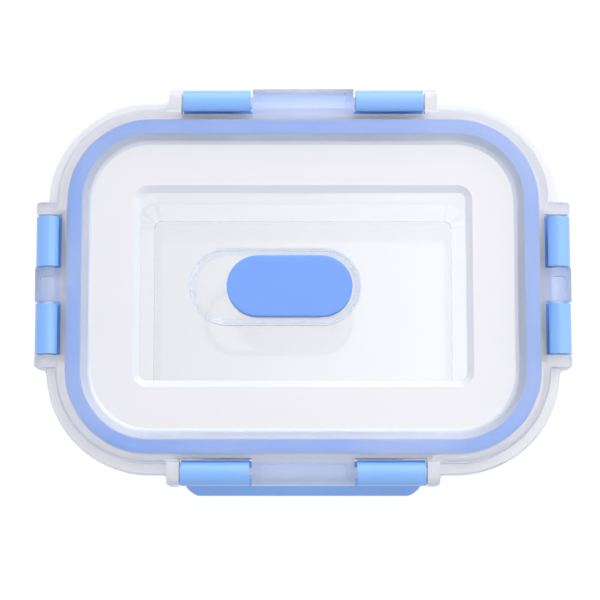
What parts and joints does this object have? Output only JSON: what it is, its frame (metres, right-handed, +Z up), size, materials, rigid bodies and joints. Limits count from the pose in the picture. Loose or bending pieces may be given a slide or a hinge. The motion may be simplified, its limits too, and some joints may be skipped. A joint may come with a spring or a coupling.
{
  "type": "glass food storage container",
  "caption": "Rectangular glass food container with rounded corners and a translucent lid, held down by hinged clip latches on its sides, with a lift-up silicone vent plug in the lid's window.",
  "frame": {"origin": "on the table, under the middle of the container", "axes": "+X along the long side towards the end nearest the vent plug's fixed end, +Y to the back, +Z up"},
  "size_m": [0.1908, 0.1436, 0.0622],
  "materials": {
    "clear_glass": "clear pressed borosilicate glass, fire-polished rim",
    "lid_plastic": "translucent polypropylene, satin panel with a polished window",
    "seal_silicone": "soft blue silicone",
    "vent_silicone": "smooth sky-blue silicone",
    "latch_plastic": "moulded blue polypropylene, low gloss"
  },
  "bodies": {
    "container": {"glass_container": "clear_glass"},
    "lid": {"lid": "lid_plastic", "seal_gasket": "seal_silicone", "vent_anchor": "vent_silicone"},
    "vent_flap": {"vent_flap": "vent_silicone"},
    "latch_front": {"latch_front": "latch_plastic"},
    "latch_back": {"latch_back": "latch_plastic"},
    "latch_left": {"latch_left": "latch_plastic"},
    "latch_right": {"latch_right": "latch_plastic"}
  },
  "joints": [
    {"name": "lid_lift", "type": "slide", "parent": "container", "child": "lid", "axis": [0, 0, 1], "range_m": [0, 0.06]},
    {"name": "vent_flap_hinge", "type": "hinge", "parent": "lid", "child": "vent_flap", "pos_m": [0.0072, 0, 0.0582], "axis": [0, 1, 0], "range_deg": [0, 110], "stiffness_Nm_per_rad": 0.0004},
    {"name": "latch_front_hinge", "type": "hinge", "parent": "lid", "child": "latch_front", "pos_m": [0, -0.0648, 0.0576], "axis": [-1, 0, 0], "range_deg": [-9.2, 130]},
    {"name": "latch_back_hinge", "type": "hinge", "parent": "lid", "child": "latch_back", "pos_m": [0, 0.0648, 0.0576], "axis": [1, 0, 0], "range_deg": [-9.2, 130]},
    {"name": "latch_left_hinge", "type": "hinge", "parent": "lid", "child": "latch_left", "pos_m": [-0.0884, 0, 0.0576], "axis": [0, 1, 0], "range_deg": [-9.2, 130]},
    {"name": "latch_right_hinge", "type": "hinge", "parent": "lid", "child": "latch_right", "pos_m": [0.0884, 0, 0.0576], "axis": [0, -1, 0], "range_deg": [-9.2, 130]}
  ]
}
